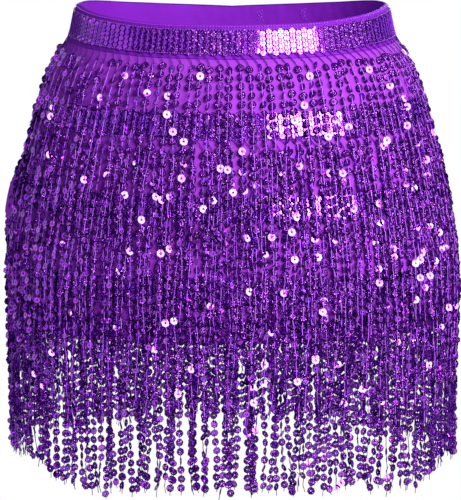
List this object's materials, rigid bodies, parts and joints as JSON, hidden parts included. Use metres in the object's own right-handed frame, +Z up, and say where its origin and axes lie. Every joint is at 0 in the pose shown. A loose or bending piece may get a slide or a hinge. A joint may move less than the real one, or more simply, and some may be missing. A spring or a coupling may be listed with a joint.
{
  "type": "belly dance hip scarf",
  "caption": "Pull-on stretch hip scarf with tiers of sequin tape and long sequin fringe, hollow as worn, open at waist and hem.",
  "frame": {"origin": "middle of the waist opening, 12 mm under the rim's highest point", "axes": "+Z up through the waist opening, -Y to the front, X from side seam to side seam"},
  "size_m": [0.3565, 0.2587, 0.3551],
  "materials": {
    "violet_jersey": "smooth stretch knit with a soft sheen",
    "waist_elastic": "jersey over elastic",
    "sequin_tape": "overlapping glossy sequins",
    "sequin_strand": "glossy cupped sequins on thread"
  },
  "bodies": {
    "root": {"waistband": "waist_elastic", "body_front": "violet_jersey", "body_back": "violet_jersey", "waist_tape": "sequin_tape", "second_tape": "sequin_tape", "third_tape": "sequin_tape", "fourth_tape": "sequin_tape", "waist_fringe": "sequin_strand", "second_fringe": "sequin_strand", "third_fringe": "sequin_strand", "fourth_fringe": "sequin_strand"}
  },
  "joints": []
}
